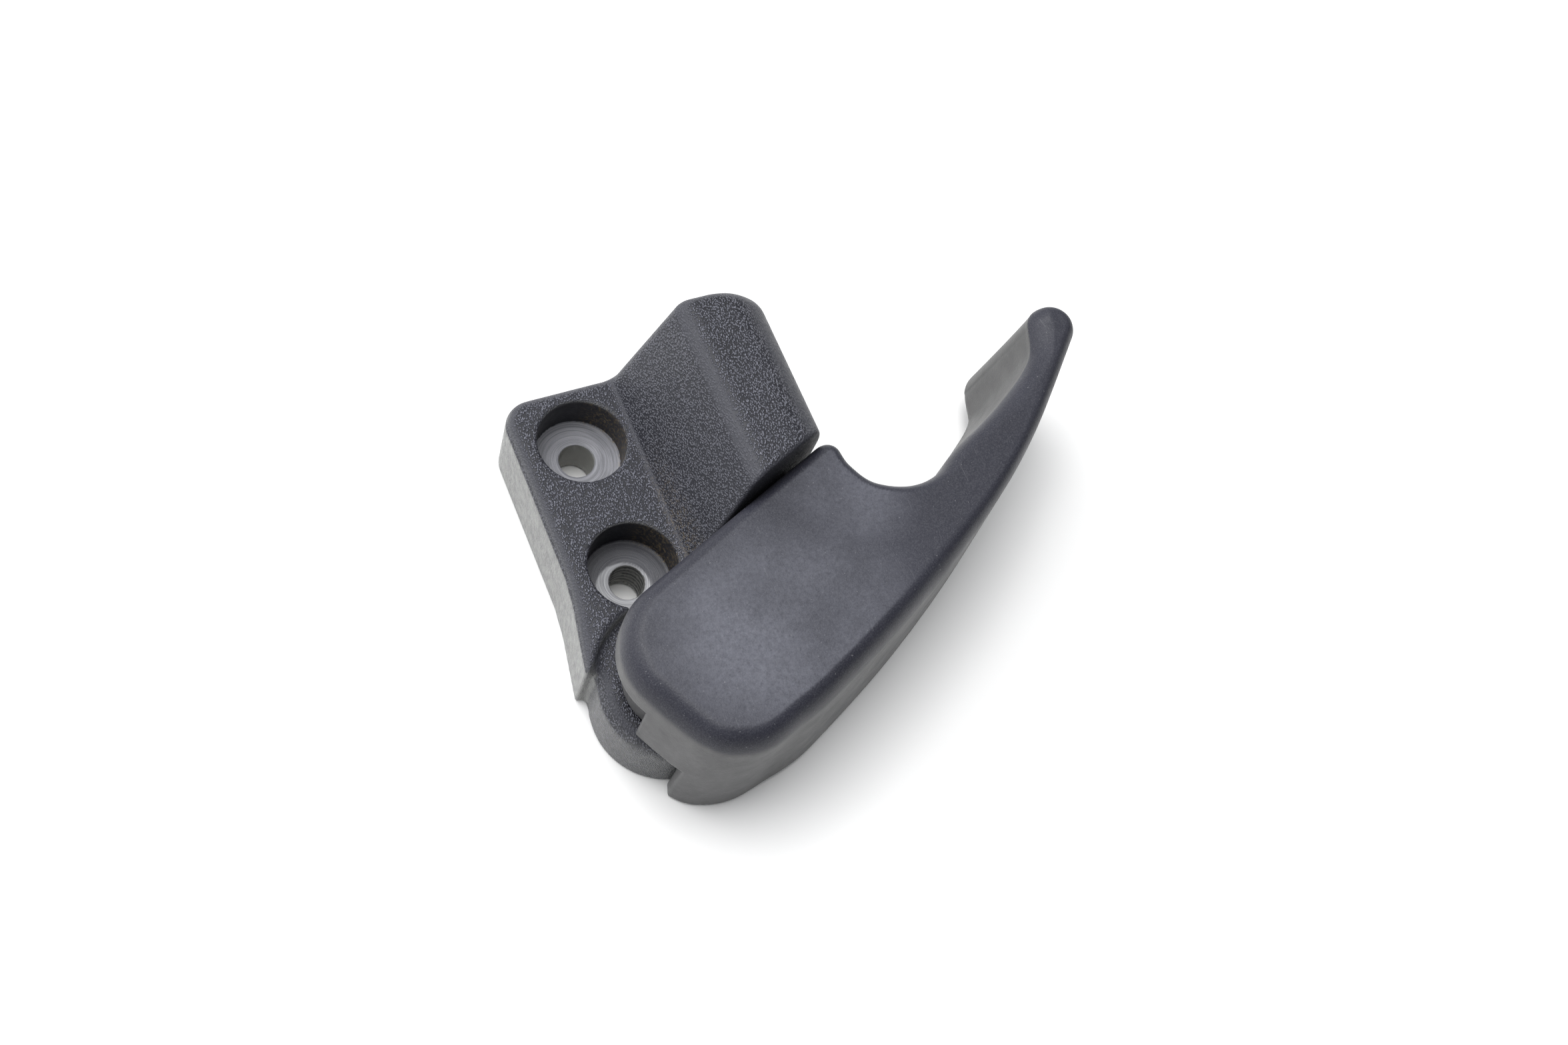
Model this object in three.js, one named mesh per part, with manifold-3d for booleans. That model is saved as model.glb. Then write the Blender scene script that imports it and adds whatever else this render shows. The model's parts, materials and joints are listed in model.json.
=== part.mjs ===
// Hook-shaped pull handle on a two-screw bearing bracket, in millimetres, +Z up.
//
// Origin: the middle of the line between the two screw holes, on the mounting face (Z = 0).
// +Y runs along the bracket's flange to its far end, +X runs towards the hook's tip.
// The lever turns about a vertical pin in the bracket's round boss.
import * as THREE from "three";
import { mergeVertices } from "three/addons/utils/BufferGeometryUtils.js";
import Module from "manifold-3d";

const wasm = await Module();
wasm.setup();

// ---- driving dimensions ----------------------------------------------------------------
const GAP = 0.3; // air between pieces that touch on the real handle
const CUT = 1; // how far a cutting body runs past the face that it opens

const SCREW_PITCH = 25;
const SCREW_HOLE_RADIUS = 3.2;
const SCREW_HEAD_RADIUS = 8;
const SCREW_FLOOR = 8.4; // height of the counterbore floors

const FLANGE_TOP = 16.2;
const FLANGE_LEFT = -11.8;
const FLANGE_FAR = 23.6;
const FLANGE_EDGE = 2.4; // round along the flange's upper edges
const FLANGE_CORNER = 5.4; // round of the far left corner in plan
const RAMP_FOOT = 9.6;
const FOOT_BLEND = 0.9; // size of the blend where the ramp leaves the flange
const RAMP_TOP = 19.3;
const BLOCK_TOP = 39;
const BLOCK_RIGHT = 34.9;
const BLOCK_ROUND = 8; // round between the block's top and its right side
const CREST_ROUND = 3; // round between the ramp and the block's top

const PIVOT_Y = -33.9;
const BOSS_RADIUS = 13.4;
const BOSS_TOP = 13.9;
const BOSS_EDGE = 3;
const WEB_ANGLE = 49; // right edge of the web that joins flange and boss, under the lever
const WEB_RIGHT = 10.4;
const RING_RECESS_TOP = 5; // roof of the recess under the boss that holds the retaining ring
const UPPER_SEAT_DEPTH = 1.3;
const RECESS_RADIUS = 14.2; // hollow in the flange's end that the lever sweeps through

const PIN_RADIUS = 3.8;
const PIN_BOTTOM = 0.8;
const PIN_TOP = 26.7;
const BUSH_WALL = 1.1;
const BUSH_FLANGE_RADIUS = 6.3;
const BUSH_FLANGE = 1;
const BUSH_LENGTH = 4.6;
const RING_THICKNESS = 0.8;
const RING_RADIUS = 5.6;
const RING_SEAT = 1.5;
const GROOVE_DEPTH = 0.8;
const GROOVE_PLAY = 0.1;
const WASHER_THICKNESS = 0.8;

const WIRE_RADIUS = 0.7;
const WIRE_PLAY = 0.5; // air round the wire in the holes that take its legs
const SPRING_LEGS = { foot: 3.8, low: 6.7, high: 13.7, head: 17.2 }; // heights where the legs end and bend
const COIL_RADIUS = 8;
const COIL_TURNS = 3.5;
const COIL_PITCH = 1.5;
const COIL_BOTTOM = 7.7;
const CHAMBER_INNER = 6.8;
const CHAMBER_OUTER = 9.2;
const CHAMBER_FLOOR = 6.2;

const LEVER_TOP = 33.7;
const LEVER_ROUND_HEIGHT = 4; // round along the lever's upper edge
const LEVER_ROUND_WIDTH = 2.4;
const LEVER_END_RADIUS = 12.4;
const LEVER_SLOPE = Math.atan(0.4); // direction of the lever's straight edge
const HUB_RADIUS = 9.8;
const HUB_BOTTOM = 14.2;
const SKIRT_CLEARANCE = 14;
const SKIRT_BOTTOM = 0.3;
const STEP_1 = { angle: 211.6, height: 25 }; // the skirt's lower edge climbs in two steps
const STEP_2 = { angle: 250.2, height: 14.3 };
const STEP_END = 45;
const ARM_FLARE = 2.5; // how far the walls stand out at their foot, along the back and in the hook
const HOOK_FLARE = 4.8;
const FOOT_ROUND = 2.2; // round along the arm's lower edge
const TIP_LIFT = 4.5; // how far the hook's underside stands above the skirt's
const TIP_CENTRE = new THREE.Vector2(88.3, 36.9);
const TIP_RADIUS = 4.6;
const NOSE_RADIUS = 2.8;
const NOSE_RIGHT = 37.6;

const CELL_ROOF = 30.6; // the arm is cored from below, up to this height
const CELL_LENGTH = 8.6;
const CELL_ROWS = [ // in the lever's body, in its neck and in the hook; first is a cell's middle in plan
  { first: [30.5, -1.6], step: [0, 9.7], count: 3, width: 8.2, turn: 0 },
  { first: [42, 6.3], step: [10.2, 3.2], count: 2, width: 8.2, turn: 18 },
  { first: [62.3, 15], step: [9.5, 5.8], count: 2, width: 5, turn: 36 },
];

const TRAVEL = 45; // degrees that the lever turns, clockwise from above
const LUG = { inner: 10.6, outer: 12.2, angle: -40, half: 6, bottom: 12.1 };

const BARREL_RADIUS = 4;
const BARREL_HEIGHT = 9;
const BARREL_BOTTOM = 1.4;
const BARREL_AT = new THREE.Vector2(20.5, 2); // from the pivot
const CABLE_HEIGHT = 6;
const CABLE_SLOT = 2.4;
const NIPPLE = { width: 4.4, length: 4 }; // the pocket in the barrel for the cable's nipple
const SHEATH_WIDTH = 6;
const CHANNEL_HEIGHT = 9.4;
const SHEATH_STOP = 4.4; // width of the narrow end that stops the sheath's ferrule
const STOP_DEPTH = 5; // from the block's end face to the sheath's stop
const POCKET = { near: 35.5, top: 31, wall: 3 };

const BUMPER = { radius: 4, seat: 1.6, stem: 1.8, length: 4.5, along: 28, height: 20 };
const EDGE_GAP = 0.6; // between the block's end face and the lever's straight edge

// ---- geometry helpers ------------------------------------------------------------------
const radians = THREE.MathUtils.degToRad;

/** A closed three.js geometry as a solid that can be cut and joined. */
function solid(geometry) {
  const bare = geometry.clone();
  bare.deleteAttribute("normal");
  bare.deleteAttribute("uv");
  const merged = mergeVertices(bare, 1e-4);
  const mesh = new wasm.Mesh({
    numProp: 3,
    vertProperties: new Float32Array(merged.attributes.position.array),
    triVerts: new Uint32Array(merged.index.array),
  });
  return new wasm.Manifold(mesh);
}

/** The solid back as a three.js geometry. */
function geometryOf(body) {
  const mesh = body.getMesh();
  const geometry = new THREE.BufferGeometry();
  geometry.setAttribute("position", new THREE.BufferAttribute(mesh.vertProperties, 3));
  geometry.setIndex(new THREE.BufferAttribute(mesh.triVerts, 1));
  geometry.computeVertexNormals();
  return geometry;
}

/** An outline of plan points raised from one height to another. */
function prism(points, bottom, top) {
  const extruded = new THREE.ExtrudeGeometry(new THREE.Shape(points), {
    depth: top - bottom,
    bevelEnabled: false,
  });
  return solid(extruded.translate(0, 0, bottom));
}

/** An upright cylinder. */
function drum(radius, bottom, top, x = 0, y = 0, sides = 48) {
  const cylinder = new THREE.CylinderGeometry(radius, radius, top - bottom, sides);
  cylinder.rotateX(Math.PI / 2);
  return solid(cylinder.translate(x, y, (bottom + top) / 2));
}

/** An upright tube. */
function tube(inner, outer, bottom, top, sides = 48) {
  return drum(outer, bottom, top, 0, 0, sides).subtract(
    drum(inner, bottom - CUT, top + CUT, 0, 0, sides),
  );
}

/** A box between two corners. */
function block(low, high) {
  const size = new THREE.Vector3().subVectors(high, low);
  const centre = new THREE.Vector3().addVectors(low, high).multiplyScalar(0.5);
  return solid(new THREE.BoxGeometry(size.x, size.y, size.z).translate(...centre));
}

/** A point at an angle in degrees and a distance from the origin of a plan. */
function polar(angle, distance) {
  return new THREE.Vector2(Math.cos(radians(angle)), Math.sin(radians(angle))).multiplyScalar(distance);
}

/** Points along an arc, both ends included. */
function arc(centre, radius, from, to, steps) {
  const points = [];
  for (let i = 0; i <= steps; i += 1) {
    points.push(polar(from + ((to - from) * i) / steps, radius).add(centre));
  }
  return points;
}

/** A wedge of a ring, as a plan outline. */
function ringSector(inner, outer, from, to) {
  const steps = Math.ceil(Math.abs(to - from) / 6);
  const origin = new THREE.Vector2();
  return [...arc(origin, outer, from, to, steps), ...arc(origin, inner, to, from, steps)];
}

/** A smooth run through points, between a run that ends before it and one that starts after it. */
function smooth(before, points, after, steps) {
  const guides = [before.at(-2), before.at(-1), ...points, after[0], after[1]];
  const curve = new THREE.SplineCurve(guides);
  const spans = guides.length - 1;
  const run = [];
  for (let i = 1; i < steps; i += 1) {
    run.push(curve.getPoint((1 + ((spans - 2) * i) / steps) / spans));
  }
  return run;
}

/** Outward normals of a closed counter-clockwise outline. */
function normals(points) {
  return points.map((_, i) => {
    const previous = points[(i + points.length - 1) % points.length];
    const next = points[(i + 1) % points.length];
    return new THREE.Vector2(next.y - previous.y, previous.x - next.x).normalize();
  });
}

/** A closed body through rings of equal length, the lowest first, turned by a matrix when it is built. */
function loft(rings, turn = new THREE.Matrix4()) {
  const count = rings[0].length;
  const position = rings.flat().flatMap((point) => point.toArray());
  const index = [];
  for (let level = 0; level + 1 < rings.length; level += 1) {
    for (let i = 0; i < count; i += 1) {
      const next = (i + 1) % count;
      const [a, b] = [level * count + i, level * count + next];
      index.push(a, b, b + count, a, b + count, a + count);
    }
  }
  const cap = (ring) =>
    THREE.ShapeUtils.triangulateShape(ring.map((point) => new THREE.Vector2(point.x, point.y)), []);
  for (const [a, b, c] of cap(rings[0])) index.push(c, b, a);
  const last = (rings.length - 1) * count;
  for (const [a, b, c] of cap(rings.at(-1))) index.push(last + a, last + b, last + c);
  const geometry = new THREE.BufferGeometry();
  geometry.setAttribute("position", new THREE.Float32BufferAttribute(position, 3));
  geometry.setIndex(index);
  return solid(geometry.applyMatrix4(turn));
}

// ---- bearing bracket -------------------------------------------------------------------

/** The plan line of the lever's straight edge, moved away from the pivot by a distance. */
function edgeLine(x, away) {
  const atPivot = LEVER_END_RADIUS + away;
  return new THREE.Vector2(x, atPivot / Math.cos(LEVER_SLOPE) + x * Math.tan(LEVER_SLOPE));
}

/** The flange's plan, seen from the pivot, at its foot or at its top face inside the rolled edge. */
function flangePlan(inset) {
  const far = FLANGE_FAR - PIVOT_Y - inset;
  const left = FLANGE_LEFT + inset;
  const flared = (reach) => left - (1 - inset / FLANGE_EDGE) * reach;
  const corner = FLANGE_CORNER;
  return [
    new THREE.Vector2(0, 0),
    polar(WEB_ANGLE, BOSS_RADIUS - 1),
    polar(WEB_ANGLE, WEB_RIGHT / Math.cos(radians(WEB_ANGLE))),
    edgeLine(WEB_RIGHT, EDGE_GAP),
    edgeLine(RAMP_FOOT + 6, EDGE_GAP),
    new THREE.Vector2(RAMP_FOOT + 6, far),
    ...arc(new THREE.Vector2(left + corner, far - corner), corner, 90, 180, 5),
    new THREE.Vector2(left, 23.4),
    new THREE.Vector2(flared(0.6), 17.5),
    new THREE.Vector2(flared(2.7), 5.9),
    new THREE.Vector2(-11.9 + inset, 5.6),
  ];
}

/** The flange with its upper edge rolled over along the left side and the far end. */
function flange() {
  const ring = (inset, z) => flangePlan(inset).map((point) => new THREE.Vector3(point.x, point.y, z));
  const rings = [ring(0, 0)];
  for (const angle of [0, 30, 60, 90]) {
    const turn = radians(angle);
    rings.push(ring(FLANGE_EDGE * (1 - Math.cos(turn)), FLANGE_TOP - FLANGE_EDGE * (1 - Math.sin(turn))));
  }
  return loft(rings);
}

/** The height profile across the ramp and the block, as X and Z, drawn in by an inset on all but its foot. */
function blockProfile(inset) {
  const crestCentre = new THREE.Vector2(RAMP_TOP + CREST_ROUND / 2, BLOCK_TOP - CREST_ROUND);
  const crest = arc(crestCentre, CREST_ROUND - inset, 160, 95, 4);
  const shoulder = arc(
    new THREE.Vector2(BLOCK_RIGHT - BLOCK_ROUND, BLOCK_TOP - BLOCK_ROUND), BLOCK_ROUND - inset, 85, 0, 8,
  );
  return [
    new THREE.Vector2(RAMP_FOOT - FOOT_BLEND + inset, 0),
    new THREE.Vector2(RAMP_FOOT - FOOT_BLEND + inset, FLANGE_TOP - FOOT_BLEND),
    new THREE.Vector2(RAMP_FOOT + FOOT_BLEND + inset, FLANGE_TOP + FOOT_BLEND),
    ...crest,
    ...shoulder,
    new THREE.Vector2(BLOCK_RIGHT - inset, 0),
  ];
}

/** Ramp and block, drawn out along Y with a rolled far edge and cut off beside the lever. */
function rampAndBlock() {
  const far = FLANGE_FAR - PIVOT_Y;
  const ring = (inset, y) => blockProfile(inset).map((point) => new THREE.Vector3(point.x, point.y, -y));
  const rings = [];
  for (const angle of [90, 60, 30, 0]) {
    const turn = radians(angle);
    rings.push(ring(FLANGE_EDGE * (1 - Math.cos(turn)), far - FLANGE_EDGE * (1 - Math.sin(turn))));
  }
  rings.push(ring(0, 5));
  const drawn = new THREE.Matrix4().makeRotationX(Math.PI / 2);
  const body = loft(rings.map((points) => points.reverse()), drawn);
  const reach = 90;
  const end = [
    edgeLine(-reach, EDGE_GAP), edgeLine(reach, EDGE_GAP),
    new THREE.Vector2(reach, reach), new THREE.Vector2(-reach, reach),
  ];
  return body.intersect(prism(end, -CUT, BLOCK_TOP + CUT));
}

/** The round boss with its rolled upper edge. */
function boss() {
  const profile = [
    new THREE.Vector2(0, 0),
    new THREE.Vector2(BOSS_RADIUS, 0),
    ...arc(new THREE.Vector2(BOSS_RADIUS - BOSS_EDGE, BOSS_TOP - BOSS_EDGE), BOSS_EDGE, 0, 90, 5),
    new THREE.Vector2(0, BOSS_TOP),
  ];
  return solid(new THREE.LatheGeometry(profile, 56).rotateX(Math.PI / 2));
}

/** The stepped bore, the spring's chamber and the groove that stops the lever. */
function bossHollows() {
  const bore = drum(PIN_RADIUS + GAP + BUSH_WALL + GAP, -CUT, BOSS_TOP + CUT);
  const ringRecess = drum(BUSH_FLANGE_RADIUS + GAP, -CUT, RING_RECESS_TOP);
  const upperSeat = drum(CHAMBER_INNER + 0.2, BOSS_TOP - UPPER_SEAT_DEPTH, BOSS_TOP + CUT);
  const chamber = tube(CHAMBER_INNER, CHAMBER_OUTER, CHAMBER_FLOOR, BOSS_TOP + CUT);
  const anchorFloor = SPRING_LEGS.foot - WIRE_RADIUS;
  const springAnchor = drum(WIRE_RADIUS + WIRE_PLAY, anchorFloor, CHAMBER_FLOOR + CUT, COIL_RADIUS, 0, 16);
  const slack = 1.5;
  const sweep = ringSector(
    LUG.inner - GAP, LUG.outer + GAP, LUG.angle - TRAVEL - LUG.half - slack, LUG.angle + LUG.half + slack,
  );
  const groove = prism(sweep, LUG.bottom - GAP, BOSS_TOP + CUT);
  return [bore, ringRecess, upperSeat, chamber, springAnchor, groove];
}

/** Counterbored holes for the two mounting screws. */
function screwHoles() {
  return [-1, 1].flatMap((side) => {
    const y = (side * SCREW_PITCH) / 2 - PIVOT_Y;
    return [
      drum(SCREW_HOLE_RADIUS, -CUT, FLANGE_TOP + CUT, 0, y, 32),
      drum(SCREW_HEAD_RADIUS, SCREW_FLOOR, FLANGE_TOP + CUT, 0, y, 48),
    ];
  });
}

/** The cable's open-bottomed channel under the block, narrowed where the sheath's ferrule stops. */
function cableChannel() {
  const x = BARREL_AT.x;
  const stop = edgeLine(x, EDGE_GAP).y + STOP_DEPTH;
  const wide = SHEATH_WIDTH / 2;
  const narrow = SHEATH_STOP / 2;
  const run = (half, from, height) => {
    const beyond = FLANGE_FAR - PIVOT_Y + CUT;
    return block(new THREE.Vector3(x - half, from, -CUT), new THREE.Vector3(x + half, beyond, height));
  };
  return [run(wide, stop, CHANNEL_HEIGHT), run(narrow, LEVER_END_RADIUS, CHANNEL_HEIGHT - 0.8)];
}

/** The pocket that keeps the block's wall even, open at the mounting face. */
function blockPocket() {
  const { near, top, wall } = POCKET;
  const low = new THREE.Vector3(BARREL_AT.x + SHEATH_WIDTH / 2 + wall / 2, near, -CUT);
  const high = new THREE.Vector3(BLOCK_RIGHT - wall, FLANGE_FAR - PIVOT_Y - wall, top);
  return block(low, high);
}

/** A cylinder square to the lever's straight edge, at a place along it. */
function edgePlug(radius, from, to, sides = 32) {
  const plug = new THREE.CylinderGeometry(radius, radius, to - from, sides);
  plug.translate(0, (from + to) / 2, 0);
  plug.rotateZ(LEVER_SLOPE);
  const at = edgeLine(BUMPER.along, 0);
  return solid(plug.translate(at.x, at.y, BUMPER.height));
}

function bearingBracket() {
  const recess = drum(RECESS_RADIUS, BOSS_TOP, BLOCK_TOP + CUT, 0, 0, 64);
  let body = flange().add(rampAndBlock()).subtract(recess).add(boss());
  const cuts = [
    ...bossHollows(),
    ...screwHoles(),
    ...cableChannel(),
    blockPocket(),
    edgePlug(BUMPER.radius + GAP, 0, EDGE_GAP + BUMPER.seat),
    edgePlug(BUMPER.stem + GAP, 0, EDGE_GAP + BUMPER.seat + BUMPER.length),
  ];
  for (const cut of cuts) body = body.subtract(cut);
  return geometryOf(body);
}

/** The rubber rest pad with its stem, set into the block's end face. */
function restBumper() {
  const back = EDGE_GAP + BUMPER.seat - GAP;
  const head = edgePlug(BUMPER.radius, GAP, back);
  const stem = edgePlug(BUMPER.stem, back - 0.5, back + BUMPER.length - GAP, 20);
  return geometryOf(head.add(stem));
}

// ---- pull lever ------------------------------------------------------------------------

/** The lever's plan at its shoulder, counter-clockwise, seen from the pivot. */
function leverOutline() {
  const along = THREE.MathUtils.radToDeg(LEVER_SLOPE);
  const end = arc(new THREE.Vector2(), LEVER_END_RADIUS, 90 + along, 208, 16);
  const tip = arc(TIP_CENTRE, TIP_RADIUS, -38, 165, 16);
  const noseCentre = edgeLine(NOSE_RIGHT - NOSE_RADIUS, -NOSE_RADIUS);
  const nose = arc(noseCentre, NOSE_RADIUS, 0, 90 + along, 8);
  const point = (x, y) => new THREE.Vector2(x, y);
  const back = smooth(
    end,
    [point(-8.3, -10.9), point(-5.3, -15.6), point(-1.6, -18.5), point(4.4, -19.8), point(11.3, -17.9),
      point(20.6, -14.4), point(40.6, -4.8), point(60, 6.8), point(75, 18)],
    tip,
    44,
  );
  const hook = smooth(
    tip,
    [point(80.6, 31.9), point(71, 25.4), point(58.5, 19.4), point(52.5, 15.8), point(46.5, 15.3),
      point(40.8, 17.7), point(38.2, 21.6)],
    nose,
    36,
  );
  const straight = [0.25, 0.5, 0.75].map((t) => nose.at(-1).clone().lerp(end[0], t));
  return [...end, ...back, ...tip, ...hook, ...nose, ...straight];
}

/** How far the wall stands out at its foot: nothing at the boss, more along the arm and in the hook. */
function flare(point, normal) {
  const alongArm = THREE.MathUtils.smoothstep(point.x, 2, 22);
  const inHook = THREE.MathUtils.smoothstep(point.x, 56, 74);
  const facesBack = Math.max(0, -normal.y);
  const facesHook = Math.max(0, -normal.x) * inHook;
  return ARM_FLARE * alongArm * facesBack + HOOK_FLARE * facesHook;
}

/** The outer skin as a stack of rings: rolled foot, drafted wall, rolled shoulder. */
function leverSkin() {
  const outline = leverOutline();
  const outward = normals(outline);
  const flares = outline.map((point, i) => flare(point, outward[i]));
  const foot = (x) => SKIRT_BOTTOM + TIP_LIFT * THREE.MathUtils.clamp((x - 10) / 78, 0, 1);
  const footRound = (x) => FOOT_ROUND * THREE.MathUtils.smoothstep(x, 4, 16);
  const shoulder = LEVER_TOP - LEVER_ROUND_HEIGHT;
  const ring = (height, inset) =>
    outline.map((point, i) => {
      const z = height(point.x);
      const drop = THREE.MathUtils.clamp((shoulder - z) / shoulder, 0, 1);
      const move = flares[i] * drop - inset(point.x);
      return new THREE.Vector3(point.x + outward[i].x * move, point.y + outward[i].y * move, z);
    });
  const rings = [
    ring(foot, (x) => footRound(x)),
    ring((x) => foot(x) + 0.3 * footRound(x) + 0.01, (x) => 0.3 * footRound(x)),
    ring((x) => foot(x) + footRound(x) + 0.02, () => 0),
  ];
  for (const angle of [0, 30, 55, 75, 90]) {
    const z = shoulder + LEVER_ROUND_HEIGHT * Math.sin(radians(angle));
    const inset = LEVER_ROUND_WIDTH * (1 - Math.cos(radians(angle)));
    rings.push(ring(() => z, () => inset));
  }
  return loft(rings);
}

/** The room under the lever for the boss and the flange's web, and the two steps in the skirt. */
function leverSteps() {
  const reach = 60;
  const right = WEB_RIGHT + 0.8;
  const hub = drum(HUB_RADIUS, -2 * CUT, BLOCK_TOP, 0, 0, 64);
  const below = (step) => {
    const plan = [
      new THREE.Vector2(0, 0),
      polar(STEP_END, right / Math.cos(radians(STEP_END))),
      new THREE.Vector2(right, 30),
      new THREE.Vector2(-reach, 30),
      new THREE.Vector2(-reach, -10),
      polar(step.angle, reach),
    ];
    return prism(plan, -CUT, step.height).subtract(hub);
  };
  const bossRoom = drum(SKIRT_CLEARANCE, -CUT, STEP_2.height, 0, 0, 64).subtract(hub);
  const underHub = drum(SKIRT_CLEARANCE, -CUT, HUB_BOTTOM, 0, 0, 64);
  return [bossRoom, underHub, below(STEP_1), below(STEP_2)];
}

/** Cells that core the arm from below, with ribs between them. */
function leverCells() {
  return CELL_ROWS.flatMap(({ first, step, count, width, turn }) =>
    Array.from({ length: count }, (_, i) => {
      const middle = new THREE.Vector2(...first).addScaledVector(new THREE.Vector2(...step), i);
      const cell = new THREE.BoxGeometry(CELL_LENGTH, width, CELL_ROOF + CUT).rotateZ(radians(turn));
      return solid(cell.translate(middle.x, middle.y, (CELL_ROOF - CUT) / 2));
    }),
  );
}

/** The fan that the cable sweeps below the lever's straight edge, and the barrel's bore. */
function cableRoom() {
  const { x, y } = BARREL_AT;
  const half = SHEATH_STOP / 2 + 0.4;
  const reach = 26;
  const fan = prism(
    [new THREE.Vector2(x - half, y), new THREE.Vector2(x + half, y), new THREE.Vector2(x + half, y + reach),
      new THREE.Vector2(x - 0.6 * reach, y + 0.8 * reach)],
    -CUT,
    CABLE_HEIGHT + 3,
  );
  const bore = drum(BARREL_RADIUS + GAP, -CUT, BARREL_BOTTOM + BARREL_HEIGHT + GAP, x, y, 32);
  return [fan, bore];
}

function pullLever() {
  let body = leverSkin();
  const cuts = [
    ...leverSteps(),
    ...leverCells(),
    ...cableRoom(),
    drum(PIN_RADIUS + GAP, HUB_BOTTOM - CUT, PIN_TOP + GAP, 0, 0, 40),
  ];
  for (const cut of cuts) body = body.subtract(cut);
  const lugPlan = ringSector(LUG.inner, LUG.outer, LUG.angle - LUG.half, LUG.angle + LUG.half);
  const lug = prism(lugPlan, LUG.bottom, STEP_2.height + CUT);
  const legEnd = polar(COIL_TURNS * 360, COIL_RADIUS);
  const legRoom = SPRING_LEGS.head + 0.8;
  const springHole = drum(WIRE_RADIUS + WIRE_PLAY, HUB_BOTTOM - CUT, legRoom, legEnd.x, legEnd.y, 16);
  return geometryOf(body.add(lug).subtract(springHole));
}

// ---- pivot -----------------------------------------------------------------------------

function pivotPin() {
  const grooveRadius = PIN_RADIUS - GROOVE_DEPTH;
  const low = RING_SEAT - GROOVE_PLAY;
  const high = RING_SEAT + RING_THICKNESS + GROOVE_PLAY;
  const profile = [
    [0, PIN_BOTTOM], [PIN_RADIUS - 0.4, PIN_BOTTOM], [PIN_RADIUS, PIN_BOTTOM + 0.3], [PIN_RADIUS, low],
    [grooveRadius, low], [grooveRadius, high], [PIN_RADIUS, high], [PIN_RADIUS, PIN_TOP - 0.6],
    [PIN_RADIUS - 0.6, PIN_TOP], [0, PIN_TOP],
  ].map(([r, z]) => new THREE.Vector2(r, z));
  return geometryOf(solid(new THREE.LatheGeometry(profile, 40).rotateX(Math.PI / 2)));
}

/** A flanged bush; the flange is at its lower end unless it is turned over. */
function bush(seat, turnedOver) {
  const inner = PIN_RADIUS + GAP;
  const outer = inner + BUSH_WALL;
  const profile = [
    [inner, 0], [BUSH_FLANGE_RADIUS, 0], [BUSH_FLANGE_RADIUS, BUSH_FLANGE], [outer, BUSH_FLANGE],
    [outer, BUSH_LENGTH], [inner, BUSH_LENGTH], [inner, 0],
  ].map(([r, z]) => new THREE.Vector2(r, z));
  const body = new THREE.LatheGeometry(profile, 40).rotateX(Math.PI / 2);
  if (turnedOver) body.rotateX(Math.PI);
  return geometryOf(solid(body.translate(0, 0, seat)));
}

function pinWasher() {
  const bottom = RING_SEAT + RING_THICKNESS + GAP;
  return geometryOf(tube(PIN_RADIUS + 0.2, BUSH_FLANGE_RADIUS - 0.2, bottom, bottom + WASHER_THICKNESS, 40));
}

/** The open ring that snaps into the pin's groove. */
function retainingRing() {
  const inner = PIN_RADIUS - GROOVE_DEPTH + 2 * GROOVE_PLAY;
  const outline = ringSector(inner, RING_RADIUS, 35, 325);
  return geometryOf(prism(outline, RING_SEAT, RING_SEAT + RING_THICKNESS));
}

/** The torsion spring: a leg down into the boss, the coil, and a leg up into the lever's hub. */
function returnSpring() {
  const { foot, low, high, head } = SPRING_LEGS;
  const guides = [new THREE.Vector3(COIL_RADIUS, 0, foot), new THREE.Vector3(COIL_RADIUS, 0, low)];
  const perTurn = 12;
  const steps = COIL_TURNS * perTurn;
  for (let i = 1; i < steps; i += 1) {
    const at = polar((360 * i) / perTurn, COIL_RADIUS);
    guides.push(new THREE.Vector3(at.x, at.y, COIL_BOTTOM + (COIL_PITCH * i) / perTurn));
  }
  const top = polar(360 * COIL_TURNS, COIL_RADIUS);
  guides.push(new THREE.Vector3(top.x, top.y, high), new THREE.Vector3(top.x, top.y, head));
  const path = new THREE.CatmullRomCurve3(guides);
  const section = new THREE.Shape(arc(new THREE.Vector2(), WIRE_RADIUS, 0, 315, 7));
  return geometryOf(solid(new THREE.ExtrudeGeometry(section, { steps: 78, extrudePath: path })));
}

/** The swivelling barrel that takes the cable's nipple: a side slot for the wire, a pocket for the nipple. */
function cableBarrel() {
  const body = drum(BARREL_RADIUS, BARREL_BOTTOM, BARREL_BOTTOM + BARREL_HEIGHT, 0, 0, 32);
  const wire = CABLE_SLOT / 2;
  const side = NIPPLE.width / 2;
  const end = NIPPLE.length / 2;
  const wayOut = new THREE.Vector3(wire, BARREL_RADIUS + CUT, CABLE_HEIGHT + wire);
  const slot = block(new THREE.Vector3(-wire, 0, 0), wayOut);
  const pocket = block(new THREE.Vector3(-side, -end, 0), new THREE.Vector3(side, end, CABLE_HEIGHT + side));
  return geometryOf(body.subtract(slot).subtract(pocket));
}

// ---- materials -------------------------------------------------------------------------
const material = (color, roughness, metalness) =>
  new THREE.MeshStandardMaterial({ color, roughness, metalness });
const grainedPlastic = () => material(0x33353c, 0.62, 0);
const smoothPlastic = () => material(0x3f4048, 0.5, 0);
const acetal = () => material(0xd8d4c6, 0.45, 0);
const pinSteel = () => material(0x9c9ea2, 0.3, 1);
const springSteel = () => material(0x6d6e72, 0.35, 1);
const zincAlloy = () => material(0xa7a8aa, 0.42, 1);
const rubber = () => material(0x17181a, 0.85, 0);

// ---- assembly --------------------------------------------------------------------------

/** A named mesh placed in a group. */
function place(group, name, geometry, look) {
  const mesh = new THREE.Mesh(geometry, look);
  mesh.name = name;
  group.add(mesh);
  return mesh;
}

const handle = new THREE.Group();

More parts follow.
